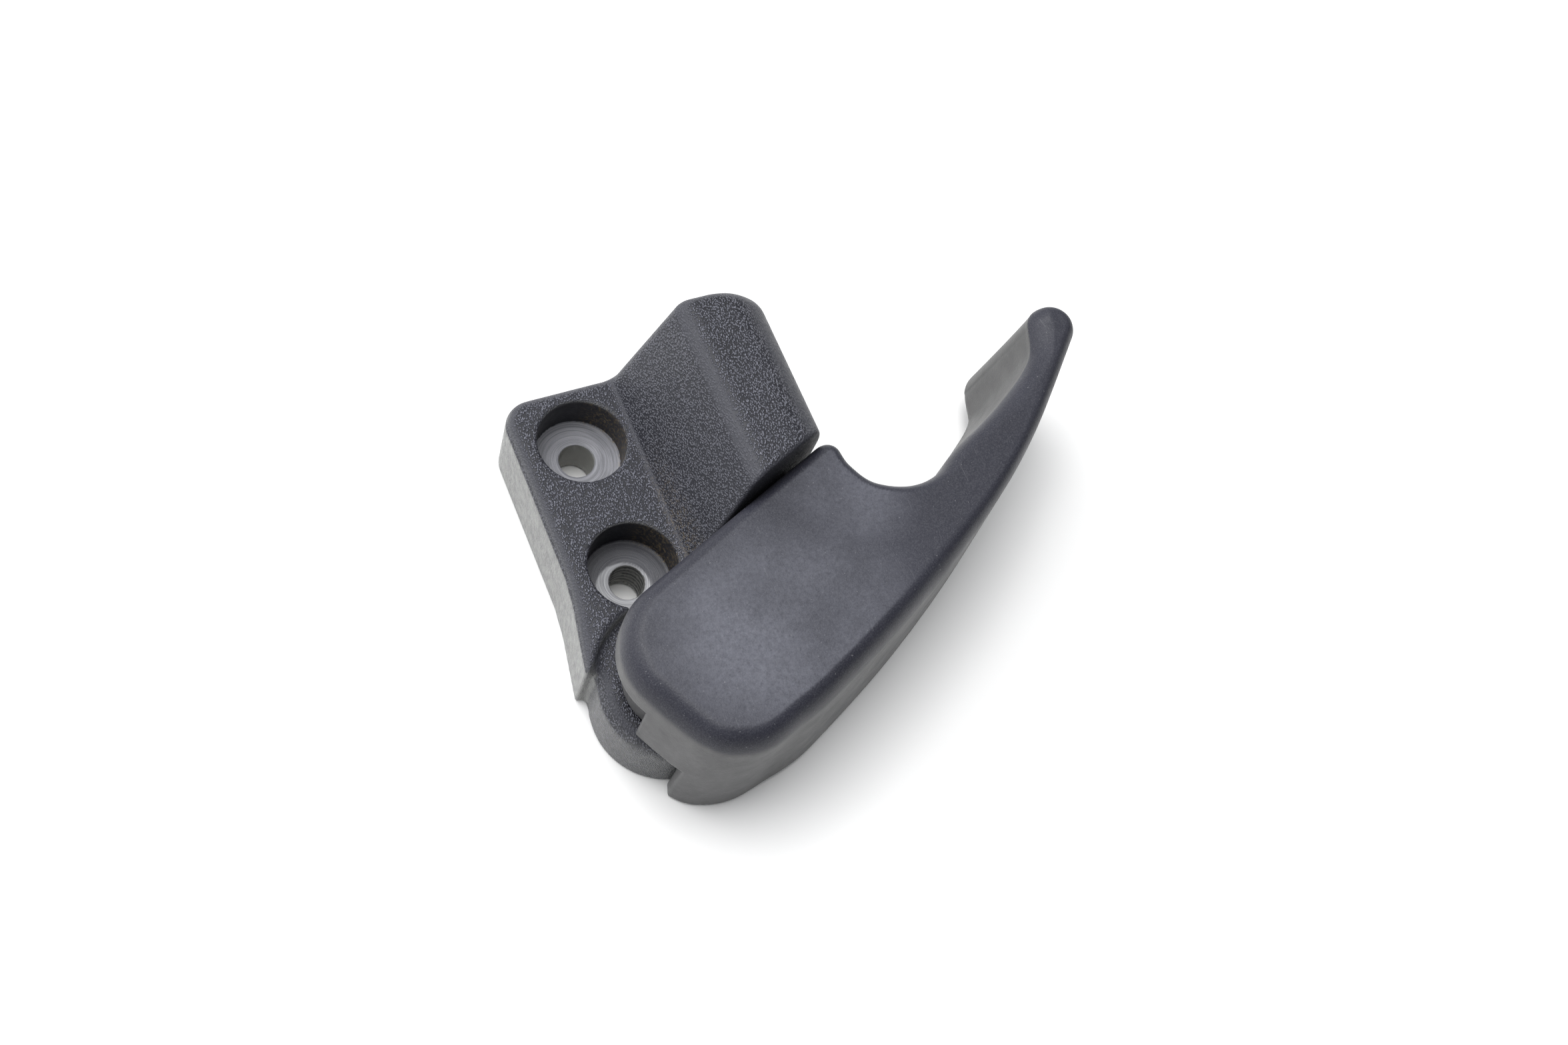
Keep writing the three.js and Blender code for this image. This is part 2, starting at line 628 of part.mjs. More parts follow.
const bracket = new THREE.Group();
bracket.position.y = PIVOT_Y;
place(bracket, "bearing_bracket", bearingBracket(), grainedPlastic());
place(bracket, "upper_pivot_bush", bush(BOSS_TOP, true), acetal());
place(bracket, "lower_pivot_bush", bush(RING_RECESS_TOP - GAP - BUSH_FLANGE, false), acetal());
place(bracket, "return_spring", returnSpring(), springSteel());
place(bracket, "rest_bumper", restBumper(), rubber());
handle.add(bracket);

const lever = new THREE.Group();
lever.position.y = PIVOT_Y;
place(lever, "pull_lever", pullLever(), smoothPlastic());
place(lever, "pivot_pin", pivotPin(), pinSteel());
place(lever, "pin_washer", pinWasher(), pinSteel());
place(lever, "pin_retaining_ring", retainingRing(), springSteel());
place(lever, "cable_barrel", cableBarrel(), zincAlloy()).position.set(BARREL_AT.x, BARREL_AT.y, 0);
handle.add(lever);

export default handle;
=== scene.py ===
"""A hook-shaped pull handle on a bearing bracket, lying on a pale table.

The bracket and the lever are moulded shells with a round on nearly every edge. Each is described
here as a distance field in millimetres, seen from the pivot: negative inside, positive outside.
surface_net() turns a field into a fine mesh, which stands for the CAD node of the same piece.
"""
import itertools
import json
import math

import bpy
import numpy as np
from mathutils import Matrix, Vector


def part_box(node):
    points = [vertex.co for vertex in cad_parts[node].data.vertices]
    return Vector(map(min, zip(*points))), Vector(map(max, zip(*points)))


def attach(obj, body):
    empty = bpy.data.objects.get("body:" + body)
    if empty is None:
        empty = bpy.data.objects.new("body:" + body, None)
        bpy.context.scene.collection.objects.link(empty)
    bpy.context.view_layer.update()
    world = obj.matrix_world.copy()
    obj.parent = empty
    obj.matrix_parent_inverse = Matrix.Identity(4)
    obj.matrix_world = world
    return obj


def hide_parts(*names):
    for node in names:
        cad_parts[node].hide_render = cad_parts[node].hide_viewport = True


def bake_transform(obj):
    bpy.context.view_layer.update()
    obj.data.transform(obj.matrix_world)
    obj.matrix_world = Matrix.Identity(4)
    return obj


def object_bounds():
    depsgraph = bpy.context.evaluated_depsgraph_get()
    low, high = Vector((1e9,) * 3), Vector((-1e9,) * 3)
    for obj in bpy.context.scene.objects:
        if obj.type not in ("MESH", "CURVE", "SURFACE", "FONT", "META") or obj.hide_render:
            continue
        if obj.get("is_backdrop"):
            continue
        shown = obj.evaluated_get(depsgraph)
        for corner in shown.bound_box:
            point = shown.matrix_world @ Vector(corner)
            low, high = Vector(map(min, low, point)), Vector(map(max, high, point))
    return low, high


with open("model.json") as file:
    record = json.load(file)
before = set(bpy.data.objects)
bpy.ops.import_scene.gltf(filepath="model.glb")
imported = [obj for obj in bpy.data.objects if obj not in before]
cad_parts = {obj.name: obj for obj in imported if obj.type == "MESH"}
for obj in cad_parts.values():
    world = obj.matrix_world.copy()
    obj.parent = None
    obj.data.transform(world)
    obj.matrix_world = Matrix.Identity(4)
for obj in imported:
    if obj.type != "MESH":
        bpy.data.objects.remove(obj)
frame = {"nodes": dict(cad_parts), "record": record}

cad_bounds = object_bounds()

MM = 0.001

# ---- places that the frame gives ---------------------------------------------------------
JOINTS = {joint["name"]: joint for joint in frame["record"]["behaviour"]["joints"]}
PIVOT = Vector(JOINTS["lever_pull"]["pos_m"]) / MM
PIVOT.z = 0.0


def cad_box(node):
    """A node's lowest and highest corners in millimetres, seen from the pivot."""
    low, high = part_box(node)
    return Vector(low) / MM - PIVOT, Vector(high) / MM - PIVOT


BRACKET_LOW, BRACKET_HIGH = cad_box("bearing_bracket")
LEVER_LOW, LEVER_HIGH = cad_box("pull_lever")
BARREL = (cad_box("cable_barrel")[0] + cad_box("cable_barrel")[1]) / 2
SCREWS_Y = [Vector(mount["pos_m"]).y / MM - PIVOT.y
            for mount in frame["record"]["mounts"] if mount["name"].endswith("_screw_seat")]
SCREW_FLOOR = next(mount["pos_m"][2] / MM for mount in frame["record"]["mounts"]
                   if mount["name"].endswith("_screw_seat"))

# ---- sizes in millimetres ----------------------------------------------------------------
CELL = 0.36

FLANGE_TOP = 16.2
FLANGE_LEFT = -11.8
FLANGE_EDGE = 2.4
BLOCK_TOP = BRACKET_HIGH.z
BLOCK_RIGHT = BRACKET_HIGH.x
FLANGE_FAR = BRACKET_HIGH.y
FLANGE_CORNER = 5.4
FLANGE_FLARE = 2.7
RAMP_FOOT = 9.4
RAMP_TOP = 18.4
CREST_ROUND = 2.6
FOOT_FILLET = 0.7
BLOCK_ROUND = 8.0
FAR_CORNER = 4.8
NEAR_ROUND = 0.8
HOLE_RADIUS = 3.2
COUNTERBORE_RADIUS = 8.0
BOSS_RADIUS = 13.4
BOSS_TOP = 13.9
BOSS_EDGE = 3.6
RECESS_RADIUS = 14.2
CRISP = 0.3
THREAD_DEPTH = 0.11
THREAD_PITCH = 1.25
BORE_RADIUS = 5.5
RING_RECESS_RADIUS = 6.6
RING_RECESS_TOP = 5
BUSH_SEAT_RADIUS = 7
BUSH_SEAT_DEPTH = 1.3
COIL_RADIUS = 8
CHAMBER_HALF_WIDTH = 1.2
CHAMBER_FLOOR = 6.2
STOP_GROOVE = {"inner": 10.3, "outer": 12.5, "start": -92.5, "end": -32.5}
STOP_GROOVE_FLOOR = 11.8
FERRULE_DEPTH = 5
FERRULE_HALF_WIDTH = 3
FERRULE_ROOF = 9.4
CABLE_HALF_WIDTH = 2.2
CABLE_ROOF = 8.6
CABLE_START = 10
POCKET_START = 35.5
POCKET_ROOF = 31
POCKET_WALL = 3
POCKET_WEB = 4.5
BUMPER_X = 28
BUMPER_HEIGHT = 20
BUMPER_STEPS = ((4.3, 2.2), (2.1, 6.7))  # radius and depth

BELOW = -1      # lower than the mounting face
OVER_BOSS = 20  # higher than the boss
OVER_ALL = 60   # higher than any piece
BEYOND = 70     # past the bracket's far edge

LEVER_TOP = LEVER_HIGH.z
LEVER_SLOPE = math.atan(0.4)
LEVER_END_RADIUS = 12.4
ARM_FLARE = 2.5
HOOK_FLARE = 4.8
SHOULDER_HEIGHT = 4.0
SHOULDER_WIDTH = 2.4
FOOT_RISE = 4.5  # how far the arm's underside rises towards the tip
EDGE_GAP = 0.6
HUB_RADIUS = 9.8
HUB_BOTTOM = 14.2
BOSS_ROOM_RADIUS = 14
BOSS_ROOM_PLAY = 0.1
SKIRT_GAP = 0.8
SKIRT_STEPS = ((211.6, 25), (250.2, 14.3))  # angle in degrees and roof
CELL_ROOF = 30.6
CELL_LENGTH = 8.6
STOP_LUG = {"inner": 10.6, "outer": 12.2, "start": -46, "end": -34}
STOP_LUG_BOTTOM = 12.1
STOP_LUG_TOP = 15
BARREL_ROOM_RADIUS = 4.3
BARREL_ROOM_ROOF = 10.7
WIRE_WAY_HALF_WIDTH = 2.6
WIRE_WAY_LENGTH = 26
WIRE_WAY_CORNER = (-15.6, 20.8)  # from the barrel, where the wire swings to at full pull
WIRE_WAY_ROOF = 9
PIN_BORE_RADIUS = 4.1
PIN_BORE_TOP = 27
LEG_HOLE_RADIUS = 1.2
LEG_HOLE_BOTTOM = 13
LEG_HOLE_TOP = 18


# ---- distance fields ---------------------------------------------------------------------
def join(a, b, r=0.0):
    """Both bodies, with a fillet of radius r where they meet."""
    if not np.any(r):
        return np.minimum(a, b)
    return np.maximum(r, np.minimum(a, b)) - np.hypot(np.maximum(r - a, 0), np.maximum(r - b, 0))


def common(a, b, r=0.0):
    """What both bodies hold, with a round of radius r along the edge."""
    if not np.any(r):
        return np.maximum(a, b)
    return np.minimum(-r, np.maximum(a, b)) + np.hypot(np.maximum(r + a, 0), np.maximum(r + b, 0))


def cut(a, b, r=CRISP):
    """The first body without the second."""
    return common(a, -b, r)


def rolled(side, top, width, height):
    """A body below top and inside side, its edge rolled over a quarter of an ellipse."""
    across = np.maximum(side + width, 0) / width
    up = np.maximum(top + height, 0) / height
    deeper = np.minimum(np.maximum(side + width, top + height), 0)
    return (np.hypot(across, up) - 1) * np.minimum(width, height) + deeper


def step(t, low, high):
    """Rises smoothly from 0 at low to 1 at high."""
    s = np.clip((t - low) / (high - low), 0, 1)
    return s * s * (3 - 2 * s)


def below(t, low, high):
    """Falls smoothly from 1 at low to 0 at high."""
    return 1 - step(t, low, high)


def mix(a, b, t):
    return a + (b - a) * t


def box_field(x, y, z, low, high):
    centre = [(a + b) / 2 for a, b in zip(low, high)]
    half = [(b - a) / 2 for a, b in zip(low, high)]
    sides = [np.abs(v - c) - h for v, c, h in zip((x, y, z), centre, half)]
    return np.maximum(np.maximum(sides[0], sides[1]), sides[2])


def drum_field(x, y, z, radius, low, high, at=(0, 0)):
    return np.maximum(np.hypot(x - at[0], y - at[1]) - radius, np.maximum(low - z, z - high))


def polygon_field(x, y, points):
    """Signed distance to a closed outline in plan."""
    x, y = np.broadcast_arrays(x, y)
    nearest = np.full(x.shape, np.inf)
    odd = np.zeros(x.shape, bool)
    for (ax, ay), (bx, by) in zip(points, points[1:] + points[:1]):
        dx, dy = bx - ax, by - ay
        along = np.clip(((x - ax) * dx + (y - ay) * dy) / (dx * dx + dy * dy), 0, 1)
        nearest = np.minimum(nearest, (x - ax - dx * along) ** 2 + (y - ay - dy * along) ** 2)
        if dy:
            odd ^= ((ay > y) != (by > y)) & (x < ax + dx * (y - ay) / dy)
    return np.sqrt(nearest) * np.where(odd, -1, 1)


def polar(angle, distance):
    return distance * math.cos(math.radians(angle)), distance * math.sin(math.radians(angle))


def edge_line(x, away):
    """A point on the lever's straight edge, moved away from the pivot."""
    return x, (LEVER_END_RADIUS + away) / math.cos(LEVER_SLOPE) + x * math.tan(LEVER_SLOPE)


def sector_field(x, y, inner, outer, start, end):
    """A stretch of a ring in plan, between two angles in degrees."""
    middle, half = (start + end) / 2, (end - start) / 2
    mx, my = polar(middle, 1)
    turn = np.degrees(np.arctan2(mx * y - my * x, mx * x + my * y))
    radius = np.hypot(x, y)
    return np.maximum(np.abs(radius - (inner + outer) / 2) - (outer - inner) / 2,
                      (np.abs(turn) - half) * np.radians(1) * radius)


# ---- bearing bracket ---------------------------------------------------------------------
WEB_ANGLE = 49
WEB_RIGHT = 10.4
FAR_AWAY = 90
BRACKET_PLAN = [
    (FLANGE_LEFT, FAR_AWAY), (FLANGE_LEFT, 23.4), (FLANGE_LEFT - 0.6, 17.5), (FLANGE_LEFT - 2.7, 5.9),
    (-11.9, 5.6), (0, 0), polar(WEB_ANGLE, BOSS_RADIUS - 1),
    polar(WEB_ANGLE, WEB_RIGHT / math.cos(math.radians(WEB_ANGLE))),
    edge_line(WEB_RIGHT, EDGE_GAP), edge_line(FAR_AWAY, EDGE_GAP), (FAR_AWAY, FAR_AWAY),
]


def bracket_field(x, y, z):
    width, height = RAMP_TOP - RAMP_FOOT, BLOCK_TOP - FLANGE_TOP
    ramp = (width * (z - FLANGE_TOP) - height * (x - RAMP_FOOT)) / math.hypot(width, height)
    profile = join(z - FLANGE_TOP, common(ramp, z - BLOCK_TOP, CREST_ROUND), FOOT_FILLET)
    profile = common(profile, x - BLOCK_RIGHT, BLOCK_ROUND)
    plan = polygon_field(x, y, BRACKET_PLAN)
    plan = common(plan, y - FLANGE_FAR, FLANGE_CORNER * below(x, -4, 4))
    left = below(x, -2, 6)
    far = step(y, FLANGE_FAR - 12, FLANGE_FAR - 6)
    edge = mix(NEAR_ROUND, FLANGE_EDGE + (FAR_CORNER - FLANGE_EDGE) * step(x, 24, 32), far)
    edge = mix(edge, FLANGE_EDGE, left)
    flare = FLANGE_FLARE * left * below(y, 7, 23.4)
    body = rolled(plan, profile, edge + flare, edge)
    radius = np.hypot(x, y)
    body = common(body, join(z - BOSS_TOP, RECESS_RADIUS - radius, 1.0), 1.2)
    body = join(body, common(radius - BOSS_RADIUS, z - BOSS_TOP, BOSS_EDGE), 1.2)
    body = common(body, -z, 0.4)
    for hollow in bracket_hollows(x, y, z):
        body = cut(body, hollow)
    return body


def bracket_hollows(x, y, z):
    """Counterbores, screw holes, the boss's stepped bore, the cable's channel and the block's pocket."""
    for centre in SCREWS_Y:
        yield drum_field(x, y, z, COUNTERBORE_RADIUS, SCREW_FLOOR, OVER_ALL, (0, centre))
    far_screw, near_screw = SCREWS_Y
    thread = THREAD_DEPTH * np.sin(2 * math.pi * z / THREAD_PITCH + np.arctan2(y - near_screw, x))
    yield drum_field(x, y, z, HOLE_RADIUS, BELOW, OVER_ALL, (0, far_screw))
    yield drum_field(x, y, z, HOLE_RADIUS + thread, BELOW, OVER_ALL, (0, near_screw))
    radius = np.hypot(x, y)
    yield np.maximum(radius - BORE_RADIUS, z - OVER_BOSS)
    yield np.maximum(radius - RING_RECESS_RADIUS, z - RING_RECESS_TOP)
    yield np.maximum(radius - BUSH_SEAT_RADIUS, np.maximum(BOSS_TOP - BUSH_SEAT_DEPTH - z, z - OVER_BOSS))
    chamber = np.abs(radius - COIL_RADIUS) - CHAMBER_HALF_WIDTH
    yield np.maximum(chamber, np.maximum(CHAMBER_FLOOR - z, z - OVER_BOSS))
    groove = sector_field(x, y, **STOP_GROOVE)
    yield np.maximum(groove, np.maximum(STOP_GROOVE_FLOOR - z, z - OVER_BOSS))
    stop = edge_line(BARREL.x, EDGE_GAP)[1] + FERRULE_DEPTH
    for half, start, roof in ((FERRULE_HALF_WIDTH, stop, FERRULE_ROOF),
                              (CABLE_HALF_WIDTH, CABLE_START, CABLE_ROOF)):
        yield box_field(x, y, z, (BARREL.x - half, start, BELOW), (BARREL.x + half, BEYOND, roof))
    yield box_field(x, y, z, (BARREL.x + POCKET_WEB, POCKET_START, BELOW),
                    (BLOCK_RIGHT - POCKET_WALL, FLANGE_FAR - POCKET_WALL, POCKET_ROOF))
    for step_radius, depth in BUMPER_STEPS:
        yield edge_plug(x, y, z, step_radius, depth)


def edge_plug(x, y, z, radius, depth):
    """A round pocket in the block's end face, square to it."""
    at = edge_line(BUMPER_X, 0)
    along = (x - at[0]) * math.cos(LEVER_SLOPE) + (y - at[1]) * math.sin(LEVER_SLOPE)
    inward = (y - at[1]) * math.cos(LEVER_SLOPE) - (x - at[0]) * math.sin(LEVER_SLOPE)
    return np.maximum(np.hypot(along, z - BUMPER_HEIGHT) - radius, np.abs(inward) - depth)


# ---- pull lever --------------------------------------------------------------------------
TIP_CENTRE = (88.3, 36.9)
TIP_RADIUS = 4.6
NOSE_RIGHT = 37.6
NOSE_RADIUS = 2.8
BACK = [(-8.3, -10.9), (-5.3, -15.6), (-1.6, -18.5), (4.4, -19.8), (11.3, -17.9),
        (20.6, -14.4), (40.6, -4.8), (60, 6.8), (75, 18)]
HOOK = [(80.6, 31.9), (71, 25.4), (58.5, 19.4), (52.5, 15.8), (46.5, 15.3), (40.8, 17.7), (38.2, 21.6)]


def arc(centre, radius, start, end, steps):
    return [(centre[0] + px, centre[1] + py)
            for px, py in (polar(start + (end - start) * i / steps, radius) for i in range(steps + 1))]


def smooth_run(before, points, after, steps):
    """A Catmull-Rom run through points that leaves one run of points and joins the next."""
    guides = np.array([before[-2], before[-1], *points, after[0], after[1]], float)
    run = []
    for i in range(1, len(guides) - 2):
        p0, p1, p2, p3 = guides[i - 1:i + 3]
        for j in range(steps):
            t = j / steps
            run.append(tuple(0.5 * (2 * p1 + (p2 - p0) * t + (2 * p0 - 5 * p1 + 4 * p2 - p3) * t * t
                                    + (3 * p1 - p0 - 3 * p2 + p3) * t ** 3)))
    return run[1:]


def lever_outline():
    along = math.degrees(LEVER_SLOPE)
    end = arc((0, 0), LEVER_END_RADIUS, 90 + along, 208, 40)
    tip = arc(TIP_CENTRE, TIP_RADIUS, -38, 165, 40)
    nose = arc(edge_line(NOSE_RIGHT - NOSE_RADIUS, -NOSE_RADIUS), NOSE_RADIUS, 0, 90 + along, 16)
    return end + smooth_run(end, BACK, tip, 12) + tip + smooth_run(tip, HOOK, nose, 12) + nose


class PlanField:
    """Values on a fine grid in plan, read between its points by a smooth quadratic spline."""

    def __init__(self, low, high, pitch):
        self.low, self.pitch = low, pitch
        self.x = np.arange(low[0], high[0], pitch)[:, None]
        self.y = np.arange(low[1], high[1], pitch)[None, :]

    def read(self, values, x, y):
        u = (x - self.low[0]) / self.pitch
        v = (y - self.low[1]) / self.pitch
        i, j = np.rint(u).astype(int), np.rint(v).astype(int)
        total = 0.0
        for a, wa in self.weights(u - i):
            row = np.clip(i + a, 0, values.shape[0] - 1)
            for b, wb in self.weights(v - j):
                column = np.clip(j + b, 0, values.shape[1] - 1)
                total = total + wa * wb * values[row, column]
        return total

    @staticmethod
    def weights(t):
        return (-1, 0.5 * (0.5 - t) ** 2), (0, 0.75 - t * t), (1, 0.5 * (0.5 + t) ** 2)


LEVER_PLAN = PlanField((LEVER_LOW.x - 6, LEVER_LOW.y - 6), (LEVER_HIGH.x + 6, LEVER_HIGH.y + 6), 0.25)
OUTLINE = polygon_field(LEVER_PLAN.x, LEVER_PLAN.y, lever_outline())
FACING_X, FACING_Y = np.gradient(OUTLINE, LEVER_PLAN.pitch)
IN_HOOK = step(LEVER_PLAN.x, 56, 74) * np.clip(-FACING_X, 0, 1)
FLARE = ARM_FLARE * step(LEVER_PLAN.x, 2, 22) * np.clip(-FACING_Y, 0, 1) + HOOK_FLARE * IN_HOOK
FULLER = np.clip(np.maximum(-FACING_Y, -FACING_X * below(LEVER_PLAN.x, 0, 20)), 0, 1)
FULLER = FULLER * (1 - 0.85 * step(LEVER_PLAN.x, 40, 65))


def lever_field(x, y, z):
    outline = LEVER_PLAN.read(OUTLINE, x, y)
    flare = LEVER_PLAN.read(FLARE, x, y)
    in_hook = LEVER_PLAN.read(IN_HOOK, x, y)
    shoulder = LEVER_TOP - SHOULDER_HEIGHT
    side = outline - flare * np.clip((shoulder - z) / shoulder, 0, 1)
    fuller = LEVER_PLAN.read(FULLER, x, y)
    over = 0.7 * in_hook
    width = SHOULDER_WIDTH + over + 2.4 * in_hook + 1.3 * fuller
    body = rolled(side - over, z - LEVER_TOP, width, SHOULDER_HEIGHT + 1.6 * in_hook + 1.7 * fuller)
    body = np.maximum(body, side)
    foot = 0.3 + FOOT_RISE * np.clip((x - 10) / 78, 0, 1)
    body = common(body, foot - z, 0.3 + 1.7 * step(x, 4, 16))
    for hollow in lever_hollows(x, y, z):
        body = cut(body, hollow)
    lug = sector_field(x, y, **STOP_LUG)
    body = join(body, np.maximum(lug, np.maximum(STOP_LUG_BOTTOM - z, z - STOP_LUG_TOP)))
    leg = polar(180, COIL_RADIUS)
    leg_hole = drum_field(x, y, z, LEG_HOLE_RADIUS, LEG_HOLE_BOTTOM, LEG_HOLE_TOP, leg)
    return cut(body, leg_hole, 0.1)


def lever_hollows(x, y, z):
    """The boss's room, the skirt's steps, the arm's cells, the cable's way and the two bores."""
    radius = np.hypot(x, y)
    outside_hub = HUB_RADIUS - radius
    boss_room = radius - BOSS_ROOM_RADIUS
    yield np.maximum(boss_room, np.maximum(z - HUB_BOTTOM - BOSS_ROOM_PLAY, outside_hub))
    yield np.maximum(boss_room, z - HUB_BOTTOM)
    right = WEB_RIGHT + SKIRT_GAP
    for angle, height in SKIRT_STEPS:
        plan = [(0, 0), polar(45, right / math.cos(math.radians(45))), (right, 30), (-60, 30), (-60, -10),
                polar(angle, 60)]
        yield np.maximum(np.maximum(polygon_field(x, y, plan), z - height), outside_hub)
    for centre, size, turn in arm_cells():
        c, s = math.cos(math.radians(turn)), math.sin(math.radians(turn))
        along = (x - centre[0]) * c + (y - centre[1]) * s
        across = (y - centre[1]) * c - (x - centre[0]) * s
        half_length, half_width = size[0] / 2, size[1] / 2
        low, high = (-half_length, -half_width, BELOW), (half_length, half_width, CELL_ROOF)
        yield box_field(along, across, z, low, high)
    half = WIRE_WAY_HALF_WIDTH
    fan = [(BARREL.x - half, BARREL.y), (BARREL.x + half, BARREL.y),
           (BARREL.x + half, BARREL.y + WIRE_WAY_LENGTH),
           (BARREL.x + WIRE_WAY_CORNER[0], BARREL.y + WIRE_WAY_CORNER[1])]
    yield np.maximum(polygon_field(x, y, fan), z - WIRE_WAY_ROOF)
    yield drum_field(x, y, z, BARREL_ROOM_RADIUS, BELOW, BARREL_ROOM_ROOF, (BARREL.x, BARREL.y))
    yield drum_field(x, y, z, PIN_BORE_RADIUS, 0, PIN_BORE_TOP)


def arm_cells():
    """Centre, size and turn of each cell that cores the arm from below."""
    for first, pitch, count, width, turn in (
            ((30.5, -1.6), (0, 9.7), 3, 8.2, 0),
            ((42, 6.3), (10.2, 3.2), 2, 8.2, 18),
            ((62.3, 15), (9.5, 5.8), 2, 5, 36)):
        for i in range(count):
            yield (first[0] + pitch[0] * i, first[1] + pitch[1] * i), (CELL_LENGTH, width), turn


# ---- meshing -----------------------------------------------------------------------------
def gradient(field, points, reach):
    """The field's gradient at each point, by central differences."""
    slopes = []
    for axis in range(3):
        shift = np.zeros(3)
        shift[axis] = reach
        ahead, behind = points + shift, points - shift
        slopes.append((field(*ahead.T) - field(*behind.T)) / (2 * reach))
    return np.stack(slopes, axis=1)


def surface_net(field, low, high, cell):
    """A closed mesh of quads over the field's surface: its points and its faces."""
    axes = [np.arange(a - 2 * cell, b + 2 * cell, cell) for a, b in zip(low, high)]
    grid = np.meshgrid(*axes, indexing="ij", sparse=True)
    shape = tuple(len(axis) for axis in axes)
    values = np.ascontiguousarray(np.broadcast_to(field(*grid), shape), dtype=np.float32)
    inside = values < 0
    corners = list(itertools.product((0, 1), repeat=3))
    held = sum(inside[tuple(slice(c, n - 1 + c) for c, n in zip(corner, shape))].astype(np.int8)
               for corner in corners)
    active = (held > 0) & (held < 8)
    numbers = np.full(active.shape, -1)
    base = np.argwhere(active)
    numbers[active] = np.arange(len(base))
    total, hits = np.zeros((len(base), 3)), np.zeros(len(base))
    for a, b in itertools.combinations(corners, 2):
        if sum(abs(p - q) for p, q in zip(a, b)) != 1:
            continue
        va = values[tuple((base + a).T)]
        vb = values[tuple((base + b).T)]
        crossed = (va < 0) != (vb < 0)
        part = va[crossed] / (va[crossed] - vb[crossed])
        total[crossed] += np.array(a) + part[:, None] * (np.array(b) - np.array(a))
        hits[crossed] += 1
    origin = np.array([axis[0] for axis in axes])
    points = origin + cell * (base + total / hits[:, None])
    return points, np.concatenate([net_faces(inside, numbers, axis) for axis in range(3)])


def net_faces(inside, numbers, axis):
    """One quad round each grid edge along an axis that the surface crosses."""
    u, v = (axis + 1) % 3, (axis + 2) % 3
    lower = np.take(inside, range(inside.shape[axis] - 1), axis)
    upper = np.take(inside, range(1, inside.shape[axis]), axis)
    edges = np.argwhere(lower != upper)
    back_u, back_v = np.eye(3, dtype=int)[u], np.eye(3, dtype=int)[v]
    ring = [edges - back_u - back_v, edges - back_v, edges, edges - back_u]
    quads = np.stack([numbers[tuple(cells.T)] for cells in ring], axis=1)
    leaving = lower[tuple(edges.T)]
    return np.where(leaving[:, None], quads, quads[:, ::-1])


def settle(field, points, faces, rounds):
    """Evens out the mesh along the surface and pulls every point onto it."""
    pairs = np.concatenate([faces[:, [i, (i + 1) % 4]] for i in range(4)])
    pairs = np.concatenate([pairs, pairs[:, ::-1]])
    count = np.bincount(pairs[:, 0], minlength=len(points))
    for turn in range(rounds):
        mean = np.stack([np.bincount(pairs[:, 0], points[pairs[:, 1], axis], len(points)) / count
                         for axis in range(3)], axis=1)
        points = points + 0.5 * (mean - points)
        for _ in range(2 if turn + 1 < rounds else 4):
            slope = gradient(field, points, 0.04)
            length = np.maximum((slope ** 2).sum(axis=1), 0.05)
            move = slope * (field(*points.T) / length)[:, None]
            reach = np.linalg.norm(move, axis=1)
            points = points - move * np.minimum(1, 0.25 / np.maximum(reach, 1e-9))[:, None]
    return points


def shell(name, field, low, high, masks):
    """The piece as a mesh object, with the masks of its material as point attributes."""
    points, faces = surface_net(field, low, high, CELL)
    points = settle(field, points, faces, 3)
    mesh = bpy.data.meshes.new(name)
    mesh.from_pydata(((points + np.array(PIVOT)) * MM).tolist(), [], faces.tolist())
    mesh.shade_smooth()
    facing = gradient(field, points, 0.12)
    facing /= np.maximum(np.linalg.norm(facing, axis=1), 1e-9)[:, None]
    for mask, values in masks(points, facing).items():
        layer = mesh.attributes.new(mask, "FLOAT", "POINT")
        layer.data.foreach_set("value", np.broadcast_to(values, len(points)).astype(np.float32))
    piece = bpy.data.objects.new(name, mesh)
    bpy.context.collection.objects.link(piece)
    return piece


def bracket_masks(points, facing):
    """Where the bracket is grained, dusty, rubbed by screw heads, or painted paler on its walls and screw
    holes' walls as painted reflected light.
    """
    x, y, z = points.T
    right, away, up = facing.T
    far_seat, near_seat = [np.hypot(x, y - centre) for centre in SCREWS_Y]
    seat = np.minimum(far_seat, near_seat)
    floor = below(np.abs(z - SCREW_FLOOR), 0.15, 0.35)
    in_bore = below(seat, 8.1, 8.3) * below(z, FLANGE_TOP - 0.8, FLANGE_TOP + 0.2) * step(z, 1, 2)
    wall = in_bore * step(seat, 7.4, 7.8)
    ramp = below(right, -0.93, -0.70) * step(up, 0.2, 0.3)
    on_boss = below(np.hypot(x, y), 13.5, 13.9)
    boss_side = on_boss * below(up, 0.6, 0.9)
    flat = step(up, 0.80, 0.99)
    grain = np.maximum(np.maximum(flat, 0.75 * ramp), np.maximum(0.8 * boss_side, 0.35))
    foot = below(np.abs(x - RAMP_FOOT - 0.5), 0.2, 2.4) * below(y, 24, 44) * (1 - in_bore)
    turned_left = below(right + away, -0.3, 0.2) * (1 - ramp)
    left_side = below(up, 0.1, 0.85) * (1 - in_bore) * turned_left * below(x, 5, 9)
    block_side = below(up, 0.1, 0.3) * step(x, 14, 20) * step(y, 30, 34)
    rub_centre = (-1.0, SCREWS_Y[1] - 1.2)
    return {
        "grain": grain * (1 - in_bore),
        "worn": (1 - grain) * (1 - in_bore),
        "dust": wall * step(x, 1, 6) + 0.6 * foot,
        "seat": seat,
        "seat_floor": floor * in_bore * (1 - 0.7 * below(near_seat, 8.5, 9)),
        "rubbed": floor * below(np.hypot(x - rub_centre[0], y - rub_centre[1]), 4.8, 5.2),
        # painted light: screw holes' walls painted paler, as if lit by the table through the hole
        "bore_wall_painted_light": below(seat, 3.3, 3.6) * below(up, 0.2, 0.5),
        # painted reflection: flange walls turned left and the block's sides painted paler for the bright
        # table they reflect
        "painted_table_reflection": np.maximum(left_side, 0.3 * block_side) * (1 - 0.6 * on_boss),
    }


